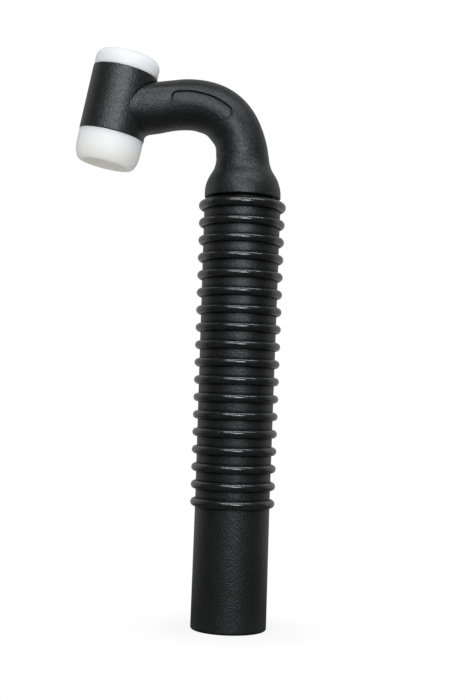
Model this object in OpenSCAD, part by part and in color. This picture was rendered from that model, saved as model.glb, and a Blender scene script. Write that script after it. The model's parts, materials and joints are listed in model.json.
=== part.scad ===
// Air-cooled TIG torch body with a flexible neck and a ribbed handle.
// Frame: origin at the centre of the handle's open end, +Z up the handle, the head towards -X.

/* [Handle] */
// Length of the handle moulding
handle_len = 162; // [140:0.1:200]
// Outside diameter at the open lower end
handle_end_d = 28.8; // [27:0.1:34]
// Outside diameter at the waist, at the lowest rib
handle_waist_d = 28.3; // [27:0.1:34]
// Outside diameter at the upper end, which the neck's boss shares
handle_top_d = 28.9; // [27:0.1:34]
// Bore of the cavity that takes the cable's end, at the open end
cable_bore_d = 23.6; // [22.8:0.1:25]
// Bore of the upper part, which holds the bush
bush_seat_d = 22.6; // [21.5:0.1:23.4]
// Rounding of the open end's outer edge
handle_edge_r = 0.8; // [0.3:0.1:1.2]

/* [Ribs] */
// Number of ribs
rib_count = 18; // [4:1:20]
// Distance from one rib to the next
rib_pitch = 6.593; // [5:0.001:7.8]
// Radius of a rib's round section
rib_round = 1.6; // [1:0.05:2]
// Radius of the top rib's section
top_rib_round = 1.8; // [1:0.05:2.2]
// How far the centre of a rib's section stands outside the wall
rib_stand = 0.25; // [0:0.05:0.5]
// Distance from the handle's upper end down to the top rib's centre
top_rib_drop = 1.9; // [1.9:0.1:5]

/* [Neck] */
// Visible gap between the handle and the neck's boss
seam_gap = 1.2; // [0.2:0.1:2]
// Outside diameter of the neck's jacket
neck_d = 18.9; // [16:0.1:22]
// Height of the boss's straight foot
boss_foot = 2; // [1.6:0.1:6]
// Radius of the boss's round shoulder and of the hollow above it
boss_round = 12.1; // [8:0.1:16]
// How far below the top of that hollow the bend begins
bend_lead = 3; // [0.5:0.1:5]
// Radius of the bend, along the neck's middle line
bend_r = 21.2; // [16:0.1:30]
// Angle through which the neck bends
bend_angle = 98.5; // [70:0.5:115]
// Straight length from the bend's end to the axis of the head
neck_straight = 24.8; // [22.5:0.1:40]
// Diameter that the flared end of the neck would reach at the axis of the head
neck_flare_d = 20; // [17:0.1:23]

/* [Conductor] */
// Outside diameter of the gas tube
tube_od = 6.35; // [5:0.05:6.8]
// Bore of the gas tube
tube_id = 4; // [3:0.1:4.6]
// Thickness of the copper braid
braid_t = 1.2; // [0.8:0.1:1.5]
// Thickness of the insulating sleeve
sleeve_t = 1; // [0.5:0.1:1.2]
// Wall of a crimp ferrule
ferrule_t = 1.1; // [0.8:0.1:1.4]
// Length of a crimp ferrule
ferrule_len = 10; // [8:0.5:11]
// Chamfer at the mouth of a crimp ferrule
ferrule_lead = 0.4; // [0.1:0.1:0.7]
// Depth of the sockets that take the ferrules
ferrule_seat = 6; // [4:0.5:6]
// Depth of the connector's socket for the gas tube, under the ferrule
tube_seat = 8; // [5:0.5:12]
// Depth of the head's socket for the gas tube, under the ferrule
head_tube_seat = 4.5; // [2:0.5:6]
// Wall round the ferrule's sockets
socket_wall = 1.4; // [1:0.1:1.8]

/* [Rear connector] */
// Length of the bush inside the handle
bush_len = 27.3; // [20:0.1:36]
// Height of the bush's nose inside the neck's boss
nose_len = 7; // [6:0.1:8]
// Wall of the bush's nose round the connector's flange
nose_wall = 1.3; // [1:0.1:1.6]
// Height of the bush's lip inside the boss
lip_len = 1.4; // [0.5:0.1:1.5]
// Thickness of the connector's flange
flange_t = 4; // [2:0.5:5]
// How far the flange stands out of the connector's shank
flange_step = 1; // [0.6:0.1:1.2]
// Thickness of the washer
washer_t = 1.5; // [0.8:0.1:3]
// Height of the nut
nut_h = 6; // [4:0.5:10]
// Length of the shank below the nut
shank_tail = 1.5; // [0.5:0.5:5]
// Length of the connector's hexagon
hex_len = 10; // [6:0.5:15]
// Outside diameter of the cable thread
cable_thread_d = 11.11; // [10:0.01:11.8]
// Length of the cable thread
cable_thread_len = 11; // [8:0.5:14]
// Chamfer at the end of each thread
thread_chamfer = 0.5; // [0.2:0.1:1]
// Length of the relief between the hexagon and the thread
relief_len = 1.5; // [0.5:0.5:3]
// Depth of that relief, on the radius
relief_depth = 0.9; // [0.5:0.1:1.5]
// Width of the flat ring round the sealing cone at the thread's end
seal_land = 0.6; // [0.3:0.1:1.2]
// How far the washer stands out past the nut's flats
washer_lip = 0.4; // [0:0.1:1]
// Free length between the thread's end and the cable cavity
cable_clear = 3.2; // [1:0.1:10]

/* [Head] */
// Angle between the neck and the rear half of the head
head_angle = 70.5; // [60:0.5:90]
// Outside diameter of the barrel
barrel_d = 24.8; // [24:0.1:28]
// Length of the barrel in front of the neck's axis
barrel_front = 9; // [6.5:0.1:12]
// Length of the barrel behind the neck's axis
barrel_rear = 15.5; // [14.5:0.1:20]
// Outside diameter of the brass head
brass_d = 15.2; // [14:0.1:16]
// How far the brass head stands into each gasket
brass_stand = 3; // [2:0.1:4]
// Wall diameter of the collet body's thread
collet_thread_d = 8.66; // [8:0.01:9.4]
// Length of the collet body's thread
collet_thread_len = 8; // [6:0.5:8]
// Wall diameter of the back cap's thread
cap_thread_d = 9.8; // [8.5:0.1:10.5]
// Length of the back cap's thread
cap_thread_len = 10; // [6:0.5:12]
// Bore of the passage for the collet
passage_d = 7.2; // [6:0.1:7.6]
// Distance from the head's axis to the mouth of the side socket
socket_reach = 16.5; // [16:0.1:17.5]
// Rounding of the barrel's edges
barrel_edge_r = 0.4; // [0.2:0.1:0.8]

/* [Gaskets] */
// Step from the barrel in to a gasket, on the radius
gasket_step = 0.15; // [0:0.05:0.6]
// Length of the front gasket
front_len = 11.2; // [10.5:0.1:15]
// Length of the front gasket's rounding
front_round_len = 6.6; // [3:0.1:8]
// Outside diameter of the front gasket's rim
front_rim_d = 19.2; // [18.6:0.1:21]
// Bore of the front gasket's cup
cup_bore_d = 17.4; // [16.5:0.1:17.6]
// Thickness of the web between the cup and the brass head
web_t = 1.5; // [1:0.1:3]
// Hole in the web, for the collet body
web_hole_d = 10.4; // [9.8:0.1:14]
// Length of the rear gasket
rear_len = 6.6; // [5.5:0.1:9]
// Rounding of the rear gasket's outer edge
rear_edge_r = 3.3; // [1:0.1:3.6]
// Bore of the rear gasket, round the back cap
cap_bore_d = 13.8; // [11:0.1:14]

/* [Hidden] */
// Clearance on the radius where one piece sits in another
fit = 0.05;
// Clearance along the axis where one piece meets another
end_fit = 0.1;
// Gap between the neck's jacket and the barrel that it lies on
saddle_gap = 0.06;
// How much thinner a bend is than the straights that it joins, on the radius
bend_step = 0.02;
// How far a straight runs into the bend
bend_lap = 0.3;
// Clearance between the nut's corners and the handle's bore
nut_clear = 0.3;
// Length by which a cutting solid runs past what it cuts
over = 1;
// Number of steps in a round edge's outline
arc_steps = 10;
$fn = 96;

// Conductor, from the inside out
tube_r = tube_od / 2;
braid_in_r = tube_r + fit;
braid_r = braid_in_r + braid_t;
ferrule_in_r = braid_r + fit;
ferrule_r = ferrule_in_r + ferrule_t;
sleeve_r = ferrule_in_r + sleeve_t;
ferrule_socket_r = ferrule_r + fit;
socket_r = ferrule_socket_r + socket_wall;
jacket_bore_r = max(ferrule_r, sleeve_r) + fit;

// Handle
boss_r = handle_top_d / 2;
top_rib_z = handle_len - top_rib_drop;
low_rib_z = top_rib_z - (rib_count - 1) * rib_pitch;

// Levels of the connector and the bush, from the top down
boss_z = handle_len + seam_gap;
nose_top_z = boss_z + nose_len;
flange_z = nose_top_z - flange_t;
bush_z = handle_len - bush_len;
washer_z = bush_z - washer_t;
nut_z = washer_z - nut_h;
shank_z = nut_z - shank_tail;
hex_z = shank_z - hex_len;
cable_thread_z = hex_z - relief_len - cable_thread_len;
cavity_len = cable_thread_z - cable_clear;
lower_seat_z = nose_top_z - ferrule_seat;

// Radii of the connector and the bush
shank_r = socket_r;
flange_r = shank_r + flange_step;
nose_r = flange_r + fit + nose_wall;
bush_r = bush_seat_d / 2 - fit;
hex_corner_r = shank_r - fit;
relief_r = cable_thread_d / 2 - relief_depth;
nut_corner_r = bush_seat_d / 2 - nut_clear;
washer_r = nut_corner_r * cos(30) + washer_lip;

// Neck: two equal arcs blend the boss into the neck
neck_r = neck_d / 2;
blend_reach = 2 * boss_round - (boss_r - neck_r);
blend_h = sqrt(pow(2 * boss_round, 2) - pow(blend_reach, 2));
shoulder_angle = atan2(blend_h, blend_reach);
blend_z = boss_z + boss_foot + blend_h;
bend_z = blend_z - bend_lead;
flare_r = neck_flare_d / 2;

// Head
head_x = -bend_r * (1 - cos(bend_angle)) - neck_straight * sin(bend_angle);
head_z = bend_z + bend_r * sin(bend_angle) + neck_straight * cos(bend_angle);
barrel_tilt = 180 - bend_angle - head_angle;
barrel_r = barrel_d / 2;
brass_r = brass_d / 2;
brass_front = barrel_front + brass_stand;
brass_rear = barrel_rear + brass_stand;
gasket_r = barrel_r - gasket_step;
upper_seat = socket_reach - ferrule_seat;
tube_stop = upper_seat - head_tube_seat;
cup_floor = brass_stand + end_fit + web_t;

// Points of an arc or an ellipse's quarter about [x, y], from one angle to another
function arc(x, y, rx, ry, from, to) = [
    for (i = [0 : arc_steps])
        let (a = from + (to - from) * i / arc_steps)
            [x + rx * cos(a), y + ry * sin(a)]
];

// Radius of the handle's wall at height z, without its ribs
function wall_r(z) =
    z < low_rib_z
        ? handle_end_d / 2 + (handle_waist_d - handle_end_d) / 2 * z / low_rib_z
        : handle_waist_d / 2 + (handle_top_d - handle_waist_d) / 2
            * (z - low_rib_z) / (handle_len - low_rib_z);

// A ring about the Z axis
module ring(outer_r, inner_r, length) {
    rotate_extrude()
        translate([inner_r, 0])
            square([outer_r - inner_r, length]);
}

// Places its children at an angle along the bend, with +Z along the neck
module along_bend(angle) {
    translate([-bend_r, 0, bend_z])
        rotate([0, -angle, 0])
            translate([bend_r, 0, 0])
                children();
}

// Places its children on the head's axis, with +Z towards the back cap
module at_head() {
    translate([head_x, 0, head_z])
        rotate([0, barrel_tilt, 0])
            children();
}

// Places its children on the head's axis, with +Z back along the neck
module towards_neck() {
    at_head()
        rotate([0, head_angle, 0])
            children();
}

// A solid core that follows the neck: from a height in the handle, round the bend, to a distance
// from the head's axis. The bend is thinner by a hair, so that its face isn't tangent to the others.
module neck_core(radius, start_z, stop) {
    translate([0, 0, start_z])
        cylinder(r = radius, h = bend_z - start_z + bend_lap);
    bend(radius);
    along_bend(bend_angle)
        translate([0, 0, -bend_lap])
            cylinder(r = radius, h = neck_straight - stop + bend_lap);
}

// The bent stretch of a core
module bend(radius) {
    translate([-bend_r, 0, bend_z])
        rotate([90, 0, 0])
            rotate_extrude(angle = bend_angle)
                translate([bend_r, 0])
                    circle(radius - bend_step);
}

// A tube that follows the neck
module neck_tube(outer_r, inner_r, start_z, stop) {
    difference() {
        neck_core(outer_r, start_z, stop);
        neck_core(inner_r, start_z - over, stop - over);
    }
}

module handle() {
    edge = arc(handle_end_d / 2 - handle_edge_r, handle_edge_r,
               handle_edge_r, handle_edge_r, -90, 0);
    color("#2a2b2e")
        rotate_extrude()
            difference() {
                union() {
                    polygon(concat([[0, 0]], edge,
                        [[handle_waist_d / 2, low_rib_z], [boss_r, handle_len], [0, handle_len]]));
                    for (i = [0 : rib_count - 1]) {
                        z = top_rib_z - i * rib_pitch;
                        translate([wall_r(z) + rib_stand, z])
                            circle(i == 0 ? top_rib_round : rib_round);
                    }
                }
                translate([0, -over])
                    square([cable_bore_d / 2, cavity_len + over]);
                translate([0, -over])
                    square([bush_seat_d / 2, handle_len + 2 * over]);
            }
}

module handle_bush() {
    color("#1d1c1b")
        difference() {
            union() {
                translate([0, 0, bush_z])
                    cylinder(r = bush_r, h = boss_z + lip_len - bush_z);
                translate([0, 0, boss_z])
                    cylinder(r = nose_r, h = nose_len);
            }
            translate([0, 0, bush_z - over])
                cylinder(r = shank_r + fit, h = nose_top_z - bush_z + 2 * over);
            translate([0, 0, flange_z])
                cylinder(r = flange_r + fit, h = flange_t + over);
        }
}

module bush_washer() {
    color("#c8a24e")
        translate([0, 0, washer_z])
            ring(washer_r, shank_r + fit, washer_t);
}

module bush_nut() {
    color("#c8a24e")
        translate([0, 0, nut_z])
            difference() {
                cylinder(r = nut_corner_r, h = nut_h, $fn = 6);
                translate([0, 0, -over])
                    cylinder(r = shank_r + fit, h = nut_h + 2 * over);
            }
}

module rear_connector() {
    thread_r = cable_thread_d / 2;
    cone_r = thread_r - thread_chamfer - seal_land;
    color("#c8a24e")
        difference() {
            union() {
                translate([0, 0, flange_z])
                    cylinder(r = flange_r, h = flange_t);
                translate([0, 0, shank_z])
                    cylinder(r = shank_r, h = nose_top_z - shank_z);
                translate([0, 0, hex_z])
                    cylinder(r = hex_corner_r, h = hex_len, $fn = 6);
                translate([0, 0, cable_thread_z + cable_thread_len])
                    cylinder(r = relief_r, h = relief_len);
                translate([0, 0, cable_thread_z + thread_chamfer])
                    cylinder(r = thread_r, h = cable_thread_len - thread_chamfer);
                translate([0, 0, cable_thread_z])
                    cylinder(r1 = thread_r - thread_chamfer, r2 = thread_r, h = thread_chamfer);
            }
            translate([0, 0, cable_thread_z - over])
                cylinder(d = tube_id, h = nose_top_z - cable_thread_z + 2 * over);
            translate([0, 0, lower_seat_z - tube_seat])
                cylinder(r = tube_r + fit, h = tube_seat + over);
            translate([0, 0, lower_seat_z])
                cylinder(r = ferrule_socket_r, h = ferrule_seat + over);
            // Cone on which the cable's nipple seals
            translate([0, 0, cable_thread_z - over])
                cylinder(r1 = cone_r + over, r2 = 0, h = cone_r + over);
        }
}

module ferrule() {
    color("#c8a24e")
        rotate_extrude()
            polygon([
                [ferrule_in_r, 0], [ferrule_r, 0], [ferrule_r, ferrule_len],
                [ferrule_in_r + ferrule_lead, ferrule_len], [ferrule_in_r, ferrule_len - ferrule_lead],
            ]);
}

module lower_ferrule() {
    translate([0, 0, lower_seat_z + end_fit])
        ferrule();
}

module upper_ferrule() {
    towards_neck()
        translate([0, 0, upper_seat + end_fit])
            ferrule();
}

module gas_tube() {
    color("#b87445")
        neck_tube(tube_r, tube_id / 2, lower_seat_z - tube_seat + end_fit, tube_stop + end_fit);
}

module copper_braid() {
    color("#b9a18a")
        neck_tube(braid_r, braid_in_r, lower_seat_z + end_fit, upper_seat + end_fit);
}

module braid_sleeve() {
    beyond_ferrule = ferrule_len + 2 * end_fit;
    color("#e3dccb")
        neck_tube(sleeve_r, ferrule_in_r, lower_seat_z + beyond_ferrule, upper_seat + beyond_ferrule);
}

module neck_jacket() {
    shoulder = arc(boss_r - boss_round, boss_z + boss_foot, boss_round, boss_round,
                   0, shoulder_angle);
    hollow = arc(neck_r + boss_round, blend_z, boss_round, boss_round,
                 180 + shoulder_angle, 180);
    hollow_rest = [for (i = [1 : arc_steps]) hollow[i]];
    color("#242528")
        difference() {
            union() {
                rotate_extrude()
                    polygon(concat(
                        [[0, boss_z], [boss_r, boss_z]], shoulder, hollow_rest, [[0, blend_z]]));
                bend(neck_r);
                along_bend(bend_angle)
                    translate([0, 0, -bend_lap])
                        cylinder(r1 = neck_r, r2 = flare_r, h = neck_straight + bend_lap);
            }
            neck_core(jacket_bore_r, boss_z - over, 0);
            translate([0, 0, boss_z - over])
                cylinder(r = bush_r + fit, h = lip_len + fit + over);
            translate([0, 0, boss_z])
                cylinder(r = nose_r + fit, h = nose_len + fit);
            towards_neck()
                cylinder(r = socket_r + fit, h = socket_reach + end_fit);
            at_head()
                cylinder(r = barrel_r + saddle_gap, h = 2 * (barrel_front + barrel_rear), center = true);
        }
}

module head_body() {
    color("#c8a24e")
        difference() {
            union() {
                at_head()
                    translate([0, 0, -brass_front])
                        cylinder(r = brass_r, h = brass_front + brass_rear);
                towards_neck()
                    cylinder(r = socket_r, h = socket_reach);
            }
            at_head() {
                translate([0, 0, -brass_front - over])
                    cylinder(d = passage_d, h = brass_front + brass_rear + 2 * over);
                translate([0, 0, -brass_front])
                    thread_hole(collet_thread_d, collet_thread_len);
                translate([0, 0, brass_rear])
                    mirror([0, 0, 1])
                        thread_hole(cap_thread_d, cap_thread_len);
            }
            towards_neck() {
                cylinder(d = tube_id, h = socket_reach);
                translate([0, 0, tube_stop])
                    cylinder(r = tube_r + fit, h = upper_seat - tube_stop + over);
                translate([0, 0, upper_seat])
                    cylinder(r = ferrule_socket_r, h = ferrule_seat + over);
            }
        }
}

// The space of a thread from its mouth at z = 0 upwards, with the chamfer of its mouth
module thread_hole(diameter, length) {
    translate([0, 0, -over])
        cylinder(d = diameter, h = length + over);
    translate([0, 0, -over])
        cylinder(d1 = diameter + 2 * (thread_chamfer + over), d2 = diameter,
                 h = thread_chamfer + over);
}

module head_shell() {
    e = barrel_edge_r;
    front_edge = arc(barrel_r - e, -barrel_front + e, e, e, -90, 0);
    rear_edge = arc(barrel_r - e, barrel_rear - e, e, e, 0, 90);
    color("#222326")
        difference() {
            at_head()
                rotate_extrude()
                    polygon(concat([[brass_r + fit, -barrel_front]], front_edge, rear_edge,
                                   [[brass_r + fit, barrel_rear]]));
            towards_neck()
                cylinder(r = socket_r + fit, h = socket_reach + barrel_r);
        }
}

module front_gasket() {
    rim_r = front_rim_d / 2;
    rounding = arc(rim_r, front_round_len - front_len, gasket_r - rim_r, front_round_len, 0, -90);
    color("#f1f0ec")
        at_head()
            translate([0, 0, -barrel_front])
                rotate_extrude()
                    polygon(concat(
                        [[brass_r + fit, 0], [gasket_r, 0]],
                        rounding,
                        [
                            [cup_bore_d / 2, -front_len],
                            [cup_bore_d / 2, -cup_floor],
                            [web_hole_d / 2, -cup_floor],
                            [web_hole_d / 2, web_t - cup_floor],
                            [brass_r + fit, web_t - cup_floor],
                        ]));
}

module rear_gasket() {
    r = rear_edge_r;
    rounding = arc(gasket_r - r, rear_len - r, r, r, 0, 90);
    seat = brass_stand + end_fit;
    color("#f1f0ec")
        at_head()
            translate([0, 0, barrel_rear])
                rotate_extrude()
                    polygon(concat(
                        [[brass_r + fit, 0], [gasket_r, 0]],
                        rounding,
                        [
                            [cap_bore_d / 2, rear_len],
                            [cap_bore_d / 2, seat],
                            [brass_r + fit, seat],
                        ]));
}

handle();
handle_bush();
bush_washer();
bush_nut();
rear_connector();
lower_ferrule();
gas_tube();
copper_braid();
braid_sleeve();
neck_jacket();
upper_ferrule();
head_body();
head_shell();
front_gasket();
rear_gasket();
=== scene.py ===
"""Looks of an air-cooled TIG torch body with a flexible neck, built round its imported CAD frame."""
import json
import math

import bpy
import numpy as np
from mathutils import Matrix, Vector


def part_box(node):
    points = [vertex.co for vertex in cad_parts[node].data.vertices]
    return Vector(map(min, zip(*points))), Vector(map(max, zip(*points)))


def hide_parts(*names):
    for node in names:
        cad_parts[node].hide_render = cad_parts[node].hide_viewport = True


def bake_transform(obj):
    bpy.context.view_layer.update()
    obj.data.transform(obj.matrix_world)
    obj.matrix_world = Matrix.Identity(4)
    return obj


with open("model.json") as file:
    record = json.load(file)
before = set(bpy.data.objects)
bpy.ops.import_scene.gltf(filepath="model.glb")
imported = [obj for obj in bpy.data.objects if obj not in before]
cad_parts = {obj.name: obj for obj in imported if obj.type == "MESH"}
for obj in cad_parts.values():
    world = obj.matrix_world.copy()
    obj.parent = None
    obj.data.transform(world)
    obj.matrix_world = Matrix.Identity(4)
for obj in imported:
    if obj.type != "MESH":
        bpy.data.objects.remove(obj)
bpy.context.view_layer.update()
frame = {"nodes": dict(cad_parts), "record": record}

# ---------------------------------------------------------------- sizes, in millimetres
MM = 0.001


def node_box(node):
    """Lowest and highest corner of a CAD node, in millimetres."""
    low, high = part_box(node)
    return np.array(low) / MM, np.array(high) / MM


def mount(name):
    """Place in millimetres and direction of one of the record's mounts."""
    found = next(m for m in frame["record"]["mounts"] if m["name"] == name)
    return np.array(found["pos_m"]) / MM, np.array(found["axis"], float)


BOSS_Z = node_box("neck_jacket")[0][2]

# Neck
NECK_R = 9.45
BEND_R = 21.2
BEND_ANGLE = math.radians(98.5)
BEND_LEAD = 3.0  # the bend begins this far before the boss's blend ends
NECK_STRAIGHT = 24.8  # from the bend's end to the head's axis
NECK_TAPER = 0.01  # widening of this stretch per millimetre
SIDE_BULGE, BULGE_LENGTH = 1.3, 20.0  # extra widening of its sides, and over what length

# Boss
BOSS_R = 14.45
BOSS_FOOT = 2.0  # height of the straight foot
BOSS_ROUND = 12.1  # radius of the two arcs that blend it into the neck
BOSS_EDGE = 0.45  # radius of its lower edge

# Way from one arc's centre to the other's across and up, and the distances along the neck where the blend
# ends and the bend begins and ends, and the height where it begins
BLEND_REACH = 2 * BOSS_ROUND - (BOSS_R - NECK_R)
BLEND_H = math.sqrt((2 * BOSS_ROUND) ** 2 - BLEND_REACH ** 2)
S_BLEND = BOSS_FOOT + BLEND_H
S_BEND = S_BLEND - BEND_LEAD
S_END = S_BEND + BEND_R * BEND_ANGLE
BEND_Z = BOSS_Z + S_BEND


def at_bend(degrees):
    """Distance along the neck at an angle of the bend."""
    return S_BEND + BEND_R * math.radians(degrees)


# Where the neck isn't a round tube: distance along it, half-length, outer side (1) or inner side (-1),
# and height
LUMPS = (
    (7.0, 9.0, 1, -0.3),
    (at_bend(17), 8.0, 1, -0.2),
    (at_bend(56), 13.5, 1, 0.7),
    (16.8, 9.5, -1, 1.0),
    (at_bend(57), 6.0, -1, -0.3),
    (S_END + 3.8, 6.5, -1, -0.33),
)

# Squarer shoulders of the neck towards the barrel. Angles are in degrees from the outer side
SHOULDER_START, SHOULDER_FULL = at_bend(62), S_END + 10.0
SHOULDER_HEIGHT = 1.25
SHOULDER_TURN, SHOULDER_SPREAD = 60, 25

# Head: the barrel's radius and axis, and the point on the axis that the neck points at
BARREL_R = 12.4
HEAD_AXIS = mount("back_cap_thread")[1]
NECK_END = np.array([-BEND_R * (1 - math.cos(BEND_ANGLE)), 0,
                     BEND_Z + BEND_R * math.sin(BEND_ANGLE)])
NECK_WAY = np.array([-math.sin(BEND_ANGLE), 0, math.cos(BEND_ANGLE)])
HEAD_POINT = NECK_END + NECK_STRAIGHT * NECK_WAY

# Hollow of the jacket
LIP_R, LIP_LEN = 11.3, 1.45  # for the bush's lip
NOSE_R, NOSE_LEN = 9.425, 7.05  # for the bush's nose
BORE_R = 5.625  # for the conductor in its sleeve
SOCKET_R, SOCKET_REACH = 7.075, 16.6  # for the head's side socket, which reaches this far from its axis

# Conductor: outer radius, inner radius, and where each tube stops before the head's axis
TUBES = {
    "gas_tube": (3.175, 2.0, 6.1),
    "copper_braid": (4.425, 3.225, 10.6),
    "braid_sleeve": (5.475, 4.475, 20.7),
}

# Bare plaque sunk into the side of the neck
PLAQUE_SIDE = math.pi / 2  # the side that faces -Y
PLAQUE_START = at_bend(44)
PLAQUE_END = S_END + 3.4
PLAQUE_HALF = 2.6  # half its width
PLAQUE_RISE = 0.55  # from the middle of the side towards the neck's outer side
PLAQUE_DEPTH = 0.65
PLAQUE_WALL = 0.4  # width of the slope at its edge
PLAQUE_LIP = 0.08  # height of the rim round it

# Foot of the neck on the barrel: a round edge above, a fillet at the sides and below. Angles are in
# degrees from the outer side
EDGE_ROUND, EDGE_FULL, EDGE_FADE = 0.5, 60, 35  # size, where it begins to fade, and over how much
FILLET_SIDE, SIDE_FROM, SIDE_FADE = 3.0, 88, 50  # size, where it begins, and over how much it grows
FILLET_UNDER, UNDER_FROM, UNDER_FADE = 1.4, 135, 45  # the same below
FILLET_LONG = 1.5  # length along the neck for a size of 1
SIDE_LIMIT = 11.6  # half the foot's greatest width

# Seam that cuts the jacket in two
S_SEAM = at_bend(50)

# Meshes
PLAQUE_SPAN = math.radians(21)  # fine columns on both sides of the plaque's middle
PLAQUE_COLUMNS, OTHER_COLUMNS = 36, 82
PLAQUE_MARGIN = 1.0  # fine rings before and past the plaque
EDGE_RINGS, BOSS_RINGS, LOW_RINGS, PLAQUE_RINGS, FOOT_RINGS = 6, 36, 18, 125, 44
FOOT_CROWDING = 1.7  # above 1, the foot's rings crowd towards the barrel
SADDLE_ROUNDS = 12
HOLLOW_STEP, TUBE_STEP = 0.8, 0.7
TUBE_SIDES = 48
SHARP = math.radians(32)


# ---------------------------------------------------------------- geometry of the neck
def smooth(t):
    """Goes from 0 to 1 as t does, with a soft start and end, and stays there."""
    t = np.clip(t, 0, 1)
    return t * t * (3 - 2 * t)


def centreline(s):
    """Centre, outward direction and way along the neck, at distances s from the boss's foot."""
    s = np.asarray(s, float)
    angle = np.clip((s - S_BEND) / BEND_R, 0, BEND_ANGLE)
    before = np.minimum(s - S_BEND, 0)
    after = np.maximum(s - S_END, 0)
    zero = np.zeros_like(s)
    outward = np.stack([np.cos(angle), zero, np.sin(angle)], -1)
    way = np.stack([-np.sin(angle), zero, np.cos(angle)], -1)
    centre = np.array([-BEND_R, 0, BEND_Z]) + BEND_R * outward + (before + after)[..., None] * way
    return centre, outward, way


def on_neck(s, r, phi):
    """Points at distance s along the neck, radius r, and angle phi from its outer side towards -Y."""
    centre, outward, _ = centreline(s)
    side = np.array([0, -1.0, 0])
    r = np.asarray(r, float)[..., None]
    return centre + r * (np.cos(phi)[..., None] * outward + np.sin(phi)[..., None] * side)


def boss_radius(s):
    """Radius of the boss and of the neck above it."""
    s = np.asarray(s, float)
    edge = np.clip(BOSS_EDGE - s, 0, BOSS_EDGE)
    foot = BOSS_R - BOSS_EDGE + np.sqrt(BOSS_EDGE ** 2 - edge ** 2)
    up = np.clip(s - BOSS_FOOT, 0, BLEND_H / 2)
    shoulder = BOSS_R - BOSS_ROUND + np.sqrt(BOSS_ROUND ** 2 - up ** 2)
    down = np.clip(S_BLEND - s, 0, BLEND_H / 2)
    hollow = NECK_R + BOSS_ROUND - np.sqrt(BOSS_ROUND ** 2 - down ** 2)
    return np.where(s < BOSS_FOOT, foot, np.where(s < BOSS_FOOT + BLEND_H / 2, shoulder, hollow))


def plaque_sink(s, phi):
    """How far the plaque's recess goes below the neck's surface."""
    across = NECK_R * np.sin(phi - PLAQUE_SIDE) + PLAQUE_RISE
    middle = (PLAQUE_START + PLAQUE_END) / 2
    half = (PLAQUE_END - PLAQUE_START) / 2 - PLAQUE_HALF
    past = np.maximum(np.abs(s - middle) - half, 0)
    distance = np.hypot(past, across) - PLAQUE_HALF
    lip = PLAQUE_LIP * np.exp(-((distance - PLAQUE_WALL / 2) / (PLAQUE_WALL / 2)) ** 2)
    sink = PLAQUE_DEPTH * smooth(-distance / PLAQUE_WALL) - lip
    return np.where(np.cos(phi - PLAQUE_SIDE) > 0, sink, 0)


def from_outer(phi):
    """Angle from the neck's outer side in degrees, from 0 to 180 both ways round."""
    return np.degrees(np.abs((phi + math.pi) % (2 * math.pi) - math.pi))


def neck_radius(s, phi):
    """Radius of the jacket, with its lumps, shoulders and plaque."""
    past = np.maximum(s - S_END, 0)
    bulge = SIDE_BULGE * np.sin(phi) ** 2 * (past / BULGE_LENGTH) ** 2
    full = smooth((s - SHOULDER_START) / (SHOULDER_FULL - SHOULDER_START))
    spread = np.exp(-((from_outer(phi) - SHOULDER_TURN) / SHOULDER_SPREAD) ** 2)
    bulge = bulge + SHOULDER_HEIGHT * full * spread
    for middle, half, side, height in LUMPS:
        window = 0.5 + 0.5 * np.cos(math.pi * np.clip((s - middle) / half, -1, 1))
        bulge = bulge + height * window * 0.5 * (1 + side * np.cos(phi))
    return boss_radius(s) + NECK_TAPER * past + bulge - plaque_sink(s, phi)


def foot_edge(phi):
    """Sizes of the round edge and of the fillet at angle phi, which is 0 on the outer side."""
    turn = from_outer(phi)
    edge = EDGE_ROUND * (1 - smooth((turn - EDGE_FULL) / EDGE_FADE))
    fillet = FILLET_SIDE * smooth((turn - SIDE_FROM) / SIDE_FADE)
    fillet = fillet + (FILLET_UNDER - FILLET_SIDE) * smooth((turn - UNDER_FROM) / UNDER_FADE)
    return edge, fillet


def foot_offset(to_end, phi):
    """Change of the radius at a distance from the neck's end."""
    edge, fillet = foot_edge(phi)
    inside = np.clip(edge - to_end, 0, None)
    shrink = edge - np.sqrt(np.maximum(edge ** 2 - inside ** 2, 0))
    long = np.maximum(fillet * FILLET_LONG, 1e-6)
    part = np.clip(1 - to_end / long, 0, 1)
    grow = fillet * (1 - np.sqrt(1 - part ** 2))
    return grow - shrink


def foot_radius(reach, to_end, phi):
    """Radius of the neck's last stretch, no wider than the barrel can carry at its sides."""
    r = neck_radius(S_END + reach, phi) + foot_offset(to_end, phi)
    sideways = np.maximum(np.abs(np.sin(phi)), 0.1)
    return np.minimum(r, SIDE_LIMIT / sideways)


def reach_to_barrel(radius_of, phi):
    """Distance past the bend's end at which each line along the neck meets the barrel. The line's radius
    depends on that distance, so it is found in rounds."""
    step = NECK_WAY - (NECK_WAY @ HEAD_AXIS) * HEAD_AXIS
    a = step @ step
    end = np.full(len(phi), S_END)
    reach = np.full(len(phi), NECK_STRAIGHT - BARREL_R)
    for _ in range(SADDLE_ROUNDS):
        start = on_neck(end, radius_of(reach), phi) - HEAD_POINT
        across = start - (start @ HEAD_AXIS)[:, None] * HEAD_AXIS
        b = across @ step
        c = (across * across).sum(1) - BARREL_R ** 2
        reach = (-b - np.sqrt(np.maximum(b * b - a * c, 0))) / a
    return reach


def column_angles():
    """Angles round the neck: fine across the plaque, wider elsewhere."""
    middle = PLAQUE_SIDE - math.asin(PLAQUE_RISE / NECK_R)
    low, high = middle - PLAQUE_SPAN, middle + PLAQUE_SPAN
    fine = np.linspace(low, high, PLAQUE_COLUMNS)
    coarse = np.linspace(high, low + 2 * math.pi, OTHER_COLUMNS)[1:-1]
    return np.concatenate([fine, coarse])


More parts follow.
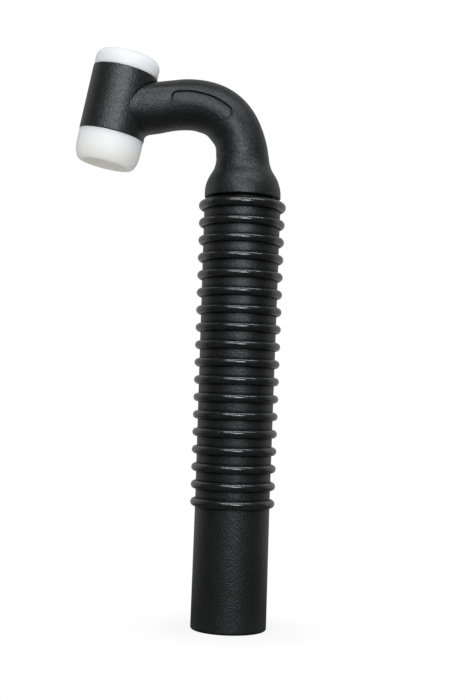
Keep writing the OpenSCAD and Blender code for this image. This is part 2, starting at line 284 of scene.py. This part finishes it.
def outer_rings(phi):
    """The jacket's outer surface from the boss's foot to the barrel, ring by ring, and the seam's index."""
    plaque_from, plaque_to = PLAQUE_START - PLAQUE_MARGIN, PLAQUE_END + PLAQUE_MARGIN
    stations = np.concatenate([
        BOSS_EDGE * (1 - np.cos(np.linspace(0, math.pi / 2, EDGE_RINGS))),
        np.linspace(BOSS_EDGE, S_BLEND, BOSS_RINGS)[1:],
        np.linspace(S_BLEND, plaque_from, LOW_RINGS)[1:],
        np.linspace(plaque_from, plaque_to, PLAQUE_RINGS)[1:],
    ])
    seam = int(np.argmin(np.abs(stations - S_SEAM)))
    stations[seam] = S_SEAM
    rings = [on_neck(np.full(len(phi), s), neck_radius(np.full(len(phi), s), phi), phi)
             for s in stations]
    first = plaque_to - S_END
    end = reach_to_barrel(lambda reach: foot_radius(reach, 0 * phi, phi), phi)
    for part in 1 - (1 - np.linspace(0, 1, FOOT_RINGS)[1:]) ** FOOT_CROWDING:
        reach = first + part * (end - first)
        rings.append(on_neck(S_END + reach, foot_radius(reach, end - reach, phi), phi))
    return rings, seam


def barrel_ring(radius, phi):
    """A ring on the barrel's surface, all round the neck's axis at one radius."""
    reach = reach_to_barrel(lambda reach: np.full(len(phi), radius), phi)
    return on_neck(S_END + reach, np.full(len(phi), radius), phi)


def plain_rings(stations, phi):
    """Round rings along the neck, each with its distance and radius."""
    return [on_neck(np.full(len(phi), s), np.full(len(phi), r), phi) for s, r in stations]


def stretch(start, end, step):
    """Evenly spaced stations from start to end, both included."""
    return np.linspace(start, end, max(2, int(abs(end - start) / step) + 1))


# ---------------------------------------------------------------- meshes
def closed_rings(name, rings):
    """A closed piece from rings of points, the last of which joins the first again."""
    count = len(rings[0])
    points = np.concatenate(rings) * MM
    faces = []
    for i in range(len(rings)):
        after = (i + 1) % len(rings)
        for j in range(count):
            k = (j + 1) % count
            faces.append((i * count + j, i * count + k, after * count + k, after * count + j))
    return add_mesh(name, points, faces)


def add_mesh(name, points, faces):
    """A mesh object with smooth faces and sharp corners, its normals outwards."""
    mesh = bpy.data.meshes.new(name)
    mesh.from_pydata([tuple(p) for p in points], [], faces)
    mesh.validate()
    mesh.shade_smooth()
    mesh.set_sharp_from_angle(angle=SHARP)
    if signed_volume(mesh) < 0:
        mesh.flip_normals()
    obj = bpy.data.objects.new(name, mesh)
    bpy.context.scene.collection.objects.link(obj)
    return obj


def signed_volume(mesh):
    """Six times the mesh's volume, below zero where its faces look inwards."""
    total = 0.0
    co = [v.co for v in mesh.vertices]
    for polygon in mesh.polygons:
        a, b, c, *rest = [co[i] for i in polygon.vertices]
        total += a.dot(b.cross(c))
        for d in rest:
            total += a.dot(c.cross(d))
            c = d
    return total


def ring_normals(rings, index):
    """Outward normals of a smooth stack of rings at one of them."""
    along = rings[index + 1] - rings[index - 1]
    around = np.roll(rings[index], -1, 0) - np.roll(rings[index], 1, 0)
    normal = np.cross(around, along)
    normal /= np.linalg.norm(normal, axis=1)[:, None]
    inside = rings[index].mean(0)
    return normal * np.sign(((rings[index] - inside) * normal).sum(1))[:, None]


def smooth_over_seam(piece, normals):
    """Gives the outer faces at the seam, the first that were made, the normals of the uncut surface."""
    mesh = piece.data
    count = len(normals)
    corners = [(0, 0, 0)] * len(mesh.loops)
    for polygon in mesh.polygons[:count]:
        for index in polygon.loop_indices:
            vertex = mesh.loops[index].vertex_index
            if vertex < count:
                corners[index] = tuple(normals[vertex])
    mesh.normals_split_custom_set(corners)


def blend_below(piece):
    """Bakes the piece's transform into its mesh; the piece reaches from the lower ferrule to the seam."""
    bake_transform(piece)


def blend_above(piece):
    """Bakes the piece's transform into its mesh; the piece reaches from the seam to the upper ferrule."""
    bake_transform(piece)


def make_jacket(rubber):
    """The rubber jacket, cut in two at the seam, with a hollow for what it covers."""
    phi = column_angles()
    outer, seam = outer_rings(phi)
    socket_s = S_END + NECK_STRAIGHT - SOCKET_REACH
    below = [(0, LIP_R), (LIP_LEN, LIP_R), (LIP_LEN, NOSE_R), (NOSE_LEN, NOSE_R)]
    below += [(s, BORE_R) for s in stretch(NOSE_LEN, S_SEAM, HOLLOW_STEP)]
    above = [(socket_s, SOCKET_R)]
    above += [(s, BORE_R) for s in stretch(S_SEAM, socket_s, HOLLOW_STEP)[::-1]]
    lower = closed_rings("neck_jacket_lower", outer[seam::-1] + plain_rings(below, phi))
    upper = closed_rings("neck_jacket_upper",
                         outer[seam:] + [barrel_ring(SOCKET_R, phi)] + plain_rings(above, phi))
    normals = ring_normals(outer, seam)
    for piece in (lower, upper):
        smooth_over_seam(piece, normals)
        finish_piece(piece, rubber, "neck_jacket")
    blend_below(lower)
    blend_above(upper)


def make_tube(node, finish):
    """One of the nested tubes in the neck, cut in two at the seam like the jacket."""
    outer_r, inner_r, stop = TUBES[node]
    phi = np.linspace(0, 2 * math.pi, TUBE_SIDES + 1)[:-1]
    start, end = node_box(node)[0][2] - BOSS_Z, S_END + NECK_STRAIGHT - stop
    for name, first, last, bend in ((node + "_lower", start, S_SEAM, blend_below),
                                    (node + "_upper", S_SEAM, end, blend_above)):
        way = stretch(first, last, TUBE_STEP)
        rings = plain_rings([(s, outer_r) for s in way] + [(s, inner_r) for s in way[::-1]], phi)
        piece = closed_rings(name, rings)
        finish_piece(piece, finish, node)
        bend(piece)


def finish_piece(piece, material, node):
    """Gives a piece its material and slot, and hides the CAD node that it replaces."""
    piece.data.materials.append(material)
    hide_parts(node)


# ---------------------------------------------------------------- materials
# Sockets of a Mix node for numbers and for colours: first input, second input and output
MIX_SOCKETS = {"FLOAT": (2, 3, 0), "RGBA": (6, 7, 2)}

# Black mouldings
COARSE_GRAIN, FINE_GRAIN, PATCHES = 0.8, 0.5, 14.0  # sizes of the grain and of the cloudy patches
GRAIN_DEPTH = 0.21
# Painted shade in the creases: ambient occlusion within this reach, with this many rays, darkens the colour
# towards this near-black and dulls the gloss
CREASE_SHADE_REACH, CREASE_SHADE_RAYS = 1.4, 6
PAINTED_CREASE_SHADE = (0.001, 0.001, 0.001)
MOULDING_BLACK = (0.0045, 0.0047, 0.005), (0.0075, 0.0078, 0.0082)
RUBBER_BLACK = (0.0045, 0.0049, 0.0055), (0.0075, 0.008, 0.0088)
RUBBER_SHEEN, SHELL_SHEEN = 0.95, 1.35  # gloss, where the handle's is 1
WORN_FROM = 14.9  # radius beyond which the handle's ribs are worn smooth

# White of the gaskets, with places along the head's axis from its middle towards the back cap
CREAM_AT, COOL_AT = -19.5, -11.0  # the front opening, and the end at the barrel
# The cups' insides are painted lighter and warmer, a painted glow that stands for light through the walls;
# it is full in the front cup and weaker in the rear one
GLOW_FULL_TO, GLOW_WEAKER_FROM = 0.0, 5.0  # the front cup's inside is warm, the rear cup's less so
CUP_INSIDE, CUP_OUTSIDE = 8.6, 9.2  # radii that part a cup's inside from its outside
COOL_WHITE = (0.88, 0.895, 0.905)
CREAM_WHITE = (0.905, 0.875, 0.825)
PAINTED_CUP_GLOW = (0.98, 0.93, 0.85)
CLOUD_WHITE = (0.90, 0.895, 0.87)

# Metals, dark and light
BRASS = (0.42, 0.27, 0.10), (0.78, 0.58, 0.28)
COPPER = (0.45, 0.20, 0.12), (0.80, 0.42, 0.27)
TURNING = 40.0  # how much finer the turning marks are along the axis than across it

# Threads: start and end along the axis, smallest and largest radius, and pitch
CONNECTOR_THREADS = [(103.6, 114.2, 5.2, 6.0, 1.27)]
HEAD_THREADS = [(-11.6, -4.0, 4.2, 4.6, 0.79), (8.5, 18.1, 4.7, 5.1, 1.0)]
THREAD_DEPTH = 0.3

# Woven strands
TINNED = (0.40, 0.36, 0.32), (0.66, 0.60, 0.54)
GLASS = (0.62, 0.58, 0.48), (0.82, 0.79, 0.70)
TINNED_STRAND, GLASS_STRAND = 0.25, 0.3  # a strand's height, divided by pi
STRAND_PAIRS = 12  # half the strands round the neck in each direction


class Nodes:
    """A node tree, with short ways to add nodes and links."""

    def __init__(self, tree):
        self.tree = tree

    def feed(self, socket, value):
        """Links an input to another node's output, or sets it to a plain value."""
        if isinstance(value, bpy.types.NodeSocket):
            self.tree.links.new(value, socket)
        else:
            socket.default_value = value

    def node(self, kind, **inputs):
        """A node with its inputs fed by name."""
        made = self.tree.nodes.new(kind)
        for name, value in inputs.items():
            self.feed(made.inputs[name.replace("_", " ")], value)
        return made

    def math(self, operation, a, b=0.0, clamp=False):
        """A number from one or two others."""
        made = self.node("ShaderNodeMath")
        made.operation = operation
        made.use_clamp = clamp
        self.feed(made.inputs[0], a)
        self.feed(made.inputs[1], b)
        return made.outputs[0]

    def vector(self, operation, *vectors):
        """A vector from others, or a number where the operation gives one."""
        made = self.node("ShaderNodeVectorMath")
        made.operation = operation
        for socket, value in zip(made.inputs, vectors):
            self.feed(socket, value)
        return made.outputs["Value" if operation in ("DOT_PRODUCT", "LENGTH") else "Vector"]

    def spread(self, value, low, high, to_low, to_high, curve="LINEAR"):
        """Maps a value from one range to another, held at both ends."""
        made = self.node("ShaderNodeMapRange", Value=value, From_Min=low, From_Max=high, To_Min=to_low,
                         To_Max=to_high)
        made.interpolation_type = curve
        return made.outputs["Result"]

    def choose(self, share, first, second, kind="FLOAT"):
        """A number between two, by share, or a colour where kind is RGBA."""
        made = self.node("ShaderNodeMix")
        made.data_type = kind
        low, high, result = MIX_SOCKETS[kind]
        self.feed(made.inputs[0], share)
        self.feed(made.inputs[low], first)
        self.feed(made.inputs[high], second)
        return made.outputs[result]

    def mix(self, share, first, second):
        """A colour between two, by share."""
        first, second = (((*c, 1) if isinstance(c, tuple) else c) for c in (first, second))
        return self.choose(share, first, second, "RGBA")

    def seen_rays(self):
        """The camera's rays, and the rays that mirror or pass through."""
        path = self.node("ShaderNodeLightPath").outputs
        mirrored = self.math("ADD", path["Is Glossy Ray"], path["Is Transmission Ray"], clamp=True)
        return path["Is Camera Ray"], mirrored

    def sweep(self, vector, start, end):
        """The backdrop's light behind the torch, falling to the dimmer room in front of it."""
        y = self.node("ShaderNodeSeparateXYZ", Vector=vector).outputs["Y"]
        return self.spread(y, start, end, ROOM, BACKDROP, "SMOOTHSTEP")


class Finish(Nodes):
    """The nodes of a material that is patterned by the object's own place. Sizes are in millimetres."""

    def __init__(self, name):
        self.material = bpy.data.materials.new(name)
        self.material.use_nodes = True
        super().__init__(self.material.node_tree)
        self.shader = self.tree.nodes["Principled BSDF"]
        self.coordinates = self.node("ShaderNodeTexCoord").outputs["Object"]

    def noise(self, size, detail, roughness, where=None):
        """Noise with features of about that size."""
        made = self.node("ShaderNodeTexNoise", Vector=where or self.coordinates, Scale=1 / (size * MM),
                         Detail=detail, Roughness=roughness)
        return made.outputs["Fac"]

    def about(self, origin, axis):
        """Distance along an axis, distance from it and turn round it."""
        way = Vector(axis)
        side = way.cross(Vector((0, 1, 0))).normalized()
        place = self.vector("SUBTRACT", self.coordinates, tuple(MM * v for v in origin))
        along, x, y = (self.vector("DOT_PRODUCT", place, tuple(d)) for d in (way, side, (0, 1, 0)))
        squares = self.math("ADD", self.math("MULTIPLY", x, x), self.math("MULTIPLY", y, y))
        return along, self.math("SQRT", squares), self.math("ARCTAN2", y, x)

    def bump(self, height, depth, after=None):
        """The normal on a relief of that depth, on top of another relief where there is one."""
        made = self.node("ShaderNodeBump", Height=height, Distance=depth * MM, Strength=1.0)
        if after is not None:
            self.feed(made.inputs["Normal"], after)
        return made.outputs["Normal"]

    def set(self, **values):
        """Feeds the shader's inputs by name, and gives the material."""
        for name, value in values.items():
            self.feed(self.shader.inputs[name.replace("_", " ")], value)
        return self.material


def black_moulding(name, colors, sheen=1.0, worn_from=None):
    """Black moulded plastic or rubber with a leathery spark-eroded grain, with painted shade in its
    creases, where ambient occlusion darkens the colour and dulls the gloss. Beyond a radius from the
    handle's axis it is worn smoother, as on the ribs."""
    g = Finish(name)
    coarse = g.noise(COARSE_GRAIN, 2.0, 0.6)
    fine = g.noise(FINE_GRAIN, 1.0, 0.5)
    patches = g.math("ADD", g.noise(PATCHES, 2.0, 0.5), g.math("MULTIPLY", fine, 0.4))
    color = g.mix(g.spread(patches, 0.5, 0.9, 0, 1), *colors)
    grain = g.math("ADD", g.math("MULTIPLY", coarse, 0.5), g.math("MULTIPLY", fine, 0.5))
    # painted shade: ambient occlusion darkens the creases' colour and dulls their gloss
    shade_ao = g.node("ShaderNodeAmbientOcclusion", Distance=CREASE_SHADE_REACH * MM)
    shade_ao.samples = CREASE_SHADE_RAYS
    unshaded_share = g.spread(shade_ao.outputs["AO"], 0.55, 0.9, 0.0, 1.0)
    color = g.mix(unshaded_share, PAINTED_CREASE_SHADE, color)
    roughness = g.spread(coarse, 0.3, 0.7, 0.36, 0.5)
    gloss = g.math("MULTIPLY", g.spread(unshaded_share, 0, 1, 0.1 * sheen, sheen),
                   g.spread(fine, 0.35, 0.65, 0.72, 1.18))
    if worn_from is not None:
        reach = g.about((0, 0, 0), (0, 0, 1))[1]
        fresh = g.spread(reach, worn_from * MM, (worn_from + 0.5) * MM, 1.0, 0.1)
        roughness = g.math("ADD", roughness, g.spread(fresh, 0.1, 1.0, -0.2, 0.0))
        gloss = g.math("MULTIPLY", gloss, g.spread(fresh, 0.1, 1.0, 1.45, 1.0))
        grain = g.math("MULTIPLY", grain, fresh)
    return g.set(Base_Color=color, Roughness=roughness, Specular_IOR_Level=gloss,
                 Normal=g.bump(grain, GRAIN_DEPTH))


def white_ptfe():
    """Waxy white, cool at the barrel, creamier towards the front opening, and painted lighter and warmer
    inside the cups as a painted glow of light through the walls.
    """
    g = Finish("gasket_ptfe")
    along, reach, _ = g.about(HEAD_POINT, HEAD_AXIS)
    cloud = g.noise(5.0, 3.0, 0.5)
    fine = g.noise(0.5, 3.0, 0.6)
    cream = g.spread(along, CREAM_AT * MM, COOL_AT * MM, 1.0, 0.0)
    inside = g.spread(reach, CUP_INSIDE * MM, CUP_OUTSIDE * MM, 1.0, 0.0)
    painted_glow_share = g.spread(along, GLOW_FULL_TO * MM, GLOW_WEAKER_FROM * MM, 1.0, 0.3)
    color = g.mix(cream, COOL_WHITE, CREAM_WHITE)
    # painted glow: the cups' insides are painted lighter and warmer
    color = g.mix(g.math("MULTIPLY", inside, painted_glow_share), color, PAINTED_CUP_GLOW)
    color = g.mix(g.spread(cloud, 0.35, 0.7, 0.0, 0.35), color, CLOUD_WHITE)
    g.shader.subsurface_method = "RANDOM_WALK"
    return g.set(Base_Color=color, Roughness=g.spread(fine, 0.3, 0.7, 0.36, 0.5),
                 Normal=g.bump(fine, 0.02), Subsurface_Weight=0.8, Subsurface_Radius=(1.0, 0.9, 0.75),
                 Subsurface_Scale=4.0 * MM)


def turned_metal(name, colors, threads=(), origin=(0, 0, 0), axis=(0, 0, 1)):
    """Metal turned about an axis, with fine marks round it and the threads' ridges."""
    g = Finish(name)
    dark, light = colors
    along, reach, turn = g.about(origin, axis)
    marks = g.node("ShaderNodeCombineXYZ", X=g.math("MULTIPLY", along, TURNING), Y=reach)
    lines = g.noise(3.0, 3.0, 0.7, where=marks.outputs["Vector"])
    tarnish = g.noise(4.0, 4.0, 0.6)
    color = g.mix(g.spread(tarnish, 0.35, 0.7, 0, 1), light, dark)
    roughness = g.math("ADD", g.spread(lines, 0.3, 0.7, 0.2, 0.36), g.spread(tarnish, 0.4, 0.7, 0, 0.12))
    normal = g.bump(lines, 0.015)
    for start, end, inner, outer, pitch in threads:
        climb = g.math("MULTIPLY", along, 2 * math.pi / (pitch * MM))
        wave = g.math("SINE", g.math("ADD", climb, turn))
        for value, low, high in ((along, start, end), (reach, inner, outer)):
            wave = g.math("MULTIPLY", wave, g.math("GREATER_THAN", value, low * MM))
            wave = g.math("MULTIPLY", wave, g.math("LESS_THAN", value, high * MM))
        normal = g.bump(wave, THREAD_DEPTH, normal)
    return g.set(Base_Color=color, Roughness=roughness, Metallic=1.0, Normal=normal)


def laminate():
    """Black phenolic laminate in thin flat layers."""
    g = Finish("phenolic_laminate")
    flat = g.node("ShaderNodeMapping", Vector=g.coordinates, Scale=(1, 1, 6))
    layers = g.noise(2.5, 4.0, 0.6, where=flat.outputs["Vector"])
    fine = g.noise(0.4, 3.0, 0.6)
    color = g.mix(layers, (0.008, 0.0075, 0.007), (0.022, 0.02, 0.018))
    return g.set(Base_Color=color, Roughness=g.spread(fine, 0.3, 0.7, 0.4, 0.6),
                 Normal=g.bump(layers, 0.02))


def woven(name, colors, strand, metallic):
    """Strands that cross on the slant round the neck."""
    g = Finish(name)
    place = g.node("ShaderNodeSeparateXYZ", Vector=g.coordinates).outputs
    turn = g.math("ARCTAN2", place["Y"], place["X"])
    rise = g.math("MULTIPLY", place["Z"], 1 / (strand * MM))
    waves = []
    for tilt in (STRAND_PAIRS, -STRAND_PAIRS):
        slope = g.math("ADD", rise, g.math("MULTIPLY", turn, tilt))
        waves.append(g.math("ABSOLUTE", g.math("SINE", slope)))
    weave = g.math("MAXIMUM", *waves)
    fuzz = g.noise(0.3, 3.0, 0.6)
    color = g.mix(g.math("MULTIPLY", weave, fuzz), *colors)
    return g.set(Base_Color=color, Roughness=g.spread(fuzz, 0.3, 0.7, 0.4, 0.65), Metallic=metallic,
                 Normal=g.bump(weave, 0.2))


def dress_cad_nodes(finishes):
    """Gives the CAD nodes that are carried over their materials."""
    for node, finish in finishes.items():
        mesh = frame["nodes"][node].data
        mesh.materials.clear()
        mesh.materials.append(finish)


# ---------------------------------------------------------------- studio
# Camera, in millimetres
CAMERA_AWAY = 466.5  # in front of the handle's axis
EYE_PLACE = (-1.18, 84.97)  # its x and z
EYE_PIXEL = (232.5, 405.0)  # the pixel straight ahead of it
FOCAL_PIXELS = 1230.0
PHOTO_SIZE = (465, 700)
LEAN = math.radians(1.95)
SENSOR = 36.0

# From here on in metres
CLIP_NEAR, CLIP_FAR = 0.01, 20.0

# Light of the surroundings
FILL = 0.47  # on matt surfaces
BACKDROP, ROOM = 0.48, 0.05  # as reflections show it behind the torch and in front
SKY_SWEEP = (-0.1, 0.6)  # directions between which one turns into the other
FLOOR_SWEEP = (0.0, 0.25)  # and places on the floor

# Floor, with a faint shadow round the foot of the torch
FLOOR_HALF = 3.0
FLOOR_COLOR = (0.85, 0.85, 0.85, 1)
WHITE = (1, 1, 1, 1)
SHADOW_SHARE = 0.86  # what is left of the white
SHADOW_FULL, SHADOW_GONE = 0.015, 0.045

# Soft boxes: angle from the camera's side towards +X and above the horizon, width and height, and watts
LIGHTS = {
    "front": (9, 13, (0.22, 0.16), 0.86),
    "left": (-16, 26, (0.26, 0.16), 0.42),
    "top": (14, 60, (0.85, 0.10), 1.35),
}
LIT_PLACE = (0, 0, 0.12)
LIGHT_AWAY = 0.62
LIGHT_COLOR = (0.94, 0.975, 1.0)


def make_camera():
    """A camera that looks straight along +Y, rolled a little, its picture shifted to the photo's crop."""
    data = bpy.data.cameras.new("camera")
    camera = bpy.data.objects.new("camera", data)
    bpy.context.scene.collection.objects.link(camera)
    data.sensor_width = SENSOR
    data.lens = SENSOR * FOCAL_PIXELS / PHOTO_SIZE[1]
    data.shift_x = (PHOTO_SIZE[0] / 2 - EYE_PIXEL[0]) / PHOTO_SIZE[1]
    data.shift_y = (EYE_PIXEL[1] - PHOTO_SIZE[1] / 2) / PHOTO_SIZE[1]
    data.clip_start = CLIP_NEAR
    data.clip_end = CLIP_FAR
    right = Vector((math.cos(LEAN), 0, math.sin(LEAN)))
    up = Vector((-math.sin(LEAN), 0, math.cos(LEAN)))
    turn = Matrix((right, up, Vector((0, -1, 0)))).transposed()
    place = Vector((EYE_PLACE[0], -CAMERA_AWAY, EYE_PLACE[1])) * MM
    camera.matrix_world = Matrix.Translation(place) @ turn.to_4x4()
    bpy.context.scene.camera = camera


def add_light(name, turn, rise, size, watts):
    """One of the soft boxes, aimed at the torch."""
    data = bpy.data.lights.new(name, "AREA")
    data.shape = "RECTANGLE"
    data.size, data.size_y = size
    data.energy = watts
    data.color = LIGHT_COLOR
    light = bpy.data.objects.new(name, data)
    bpy.context.scene.collection.objects.link(light)
    turn, rise = math.radians(turn), math.radians(rise)
    way = Vector((math.sin(turn) * math.cos(rise), -math.cos(turn) * math.cos(rise), math.sin(rise)))
    light.location = Vector(LIT_PLACE) + LIGHT_AWAY * way
    light.rotation_euler = way.to_track_quat("Z", "Y").to_euler()


def make_world():
    """Even light. The camera sees plain white, and reflections see a white backdrop and a dim room."""
    world = bpy.data.worlds.new("studio")
    bpy.context.scene.world = world
    world.use_nodes = True
    g = Nodes(world.node_tree)
    camera, mirrored = g.seen_rays()
    way = g.node("ShaderNodeTexCoord").outputs["Generated"]
    light = g.choose(mirrored, FILL, g.sweep(way, *SKY_SWEEP))
    background = g.tree.nodes["Background"]
    g.feed(background.inputs["Color"], WHITE)
    g.feed(background.inputs["Strength"], g.choose(camera, light, 1.0))


def floor_white():
    """Plain white to the camera and in reflections, with a faint shadow round the foot of the torch. The
    light that it throws back is that of a matt floor."""
    material = bpy.data.materials.new("floor_white")
    material.use_nodes = True
    g = Nodes(material.node_tree)
    g.tree.nodes.remove(g.tree.nodes["Principled BSDF"])
    camera, mirrored = g.seen_rays()
    place = g.node("ShaderNodeTexCoord").outputs["Object"]
    shadow = g.spread(g.vector("LENGTH", place), SHADOW_FULL, SHADOW_GONE, SHADOW_SHARE, 1.0, "SMOOTHSTEP")
    strength = g.choose(camera, g.sweep(place, *FLOOR_SWEEP), 1.0)
    plain = g.node("ShaderNodeEmission", Color=WHITE, Strength=strength)
    matt = g.node("ShaderNodeBsdfDiffuse", Color=FLOOR_COLOR)
    share = g.choose(g.math("MAXIMUM", camera, mirrored), 0.0, shadow)
    both = g.node("ShaderNodeMixShader", Fac=share)
    g.feed(both.inputs[1], matt.outputs[0])
    g.feed(both.inputs[2], plain.outputs[0])
    g.feed(g.tree.nodes["Material Output"].inputs["Surface"], both.outputs[0])
    return material


def make_floor():
    """The floor under the torch."""
    mesh = bpy.data.meshes.new("floor")
    corners = [(x * FLOOR_HALF, y * FLOOR_HALF, 0) for x, y in ((-1, -1), (1, -1), (1, 1), (-1, 1))]
    mesh.from_pydata(corners, [], [(0, 1, 2, 3)])
    mesh.materials.append(floor_white())
    floor = bpy.data.objects.new("floor", mesh)
    bpy.context.scene.collection.objects.link(floor)


# ---------------------------------------------------------------- the scene
make_camera()
make_world()
make_floor()
for light_name, light_values in LIGHTS.items():
    add_light(light_name, *light_values)
bpy.context.scene.view_settings.view_transform = "Standard"

ptfe = white_ptfe()
brass = turned_metal("turned_brass", BRASS)
copper = turned_metal("drawn_copper", COPPER)
dress_cad_nodes({
    "handle": black_moulding("handle_moulding", MOULDING_BLACK, worn_from=WORN_FROM),
    "handle_bush": laminate(),
    "bush_washer": brass,
    "bush_nut": brass,
    "rear_connector": turned_metal("connector_brass", BRASS, CONNECTOR_THREADS),
    "lower_ferrule": copper,
    "upper_ferrule": copper,
    "head_body": turned_metal("head_brass", BRASS, HEAD_THREADS, HEAD_POINT, HEAD_AXIS),
    "head_shell": black_moulding("barrel_moulding", MOULDING_BLACK, SHELL_SHEEN),
    "front_gasket": ptfe,
    "rear_gasket": ptfe,
})
make_jacket(black_moulding("neck_moulding", RUBBER_BLACK, RUBBER_SHEEN))
make_tube("gas_tube", copper)
make_tube("copper_braid", woven("tinned_strands", TINNED, TINNED_STRAND, 1.0))
make_tube("braid_sleeve", woven("glass_strands", GLASS, GLASS_STRAND, 0.0))
